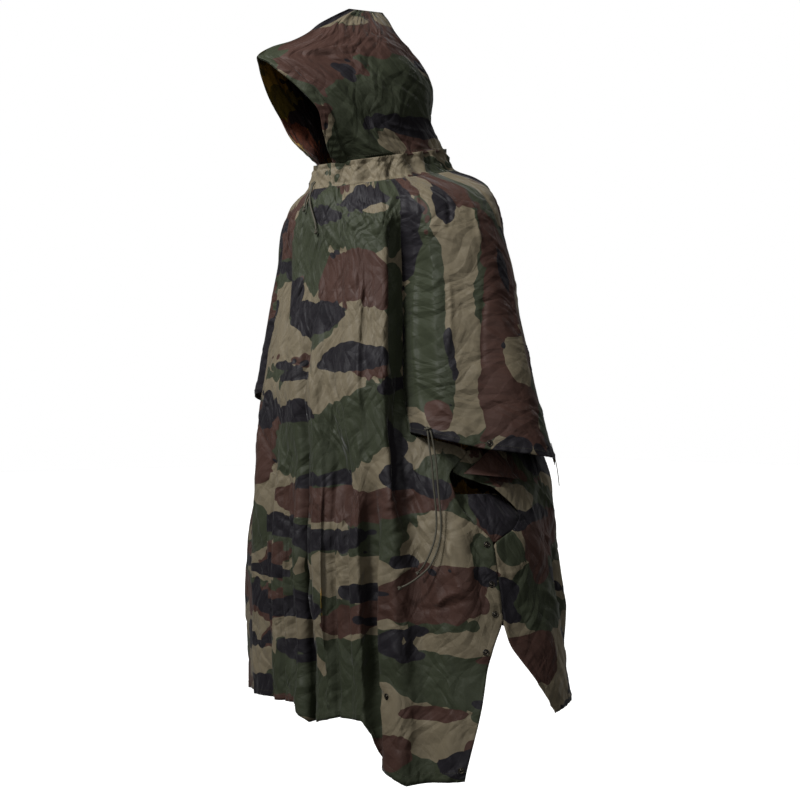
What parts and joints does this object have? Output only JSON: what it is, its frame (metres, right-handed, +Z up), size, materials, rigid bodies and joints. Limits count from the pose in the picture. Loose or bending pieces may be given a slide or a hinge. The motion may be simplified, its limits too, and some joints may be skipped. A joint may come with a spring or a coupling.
{
  "type": "rain poncho",
  "caption": "Hooded rain poncho of thin coated rip-stop cloth in woodland camouflage, worn and filled out with no wearer, with snapped side edges, open cuffs and drawcords.",
  "frame": {"origin": "centre of the neck opening at the foot of the neck band, where neck and shoulders hold the poncho", "axes": "+Z up, -Y towards the front, +X towards the wearer's left"},
  "size_m": [0.7875, 0.5683, 1.4833],
  "materials": {
    "printed_nylon": "coated rip-stop nylon, printed in woodland camouflage, slightly glossy",
    "tape_nylon": "folded tunnels and tapes of the same nylon",
    "olive_cord": "braided nylon cord, matte",
    "darkened_brass": "blackened, satin"
  },
  "bodies": {
    "root": {"front": "printed_nylon", "back": "printed_nylon", "side_left": "printed_nylon", "side_right": "printed_nylon", "neck_band": "tape_nylon", "hood_left": "printed_nylon", "rim_left": "tape_nylon", "hood_right": "printed_nylon", "rim_right": "tape_nylon", "snap_cuff_left_front": "darkened_brass", "snap_cuff_left_back": "darkened_brass", "snap_cuff_right_front": "darkened_brass", "snap_cuff_right_back": "darkened_brass", "snap_seam_left_top": "darkened_brass", "snap_seam_left_middle": "darkened_brass", "snap_seam_left_low": "darkened_brass", "snap_seam_right_top": "darkened_brass", "snap_seam_right_middle": "darkened_brass", "snap_seam_right_low": "darkened_brass", "snap_edge_left": "darkened_brass", "snap_corner_front_left": "darkened_brass", "snap_corner_front_right": "darkened_brass", "snap_hem_front": "darkened_brass", "snap_corner_back_left": "darkened_brass", "snap_corner_back_right": "darkened_brass", "tie_tab_left": "tape_nylon", "neck_cord_long": "olive_cord", "neck_knot_long": "olive_cord", "neck_cord_short": "olive_cord", "neck_knot_short": "olive_cord", "cuff_cord_short": "olive_cord", "cuff_knot_short": "olive_cord", "cuff_cord_long": "olive_cord", "cuff_knot_long": "olive_cord"}
  },
  "joints": []
}
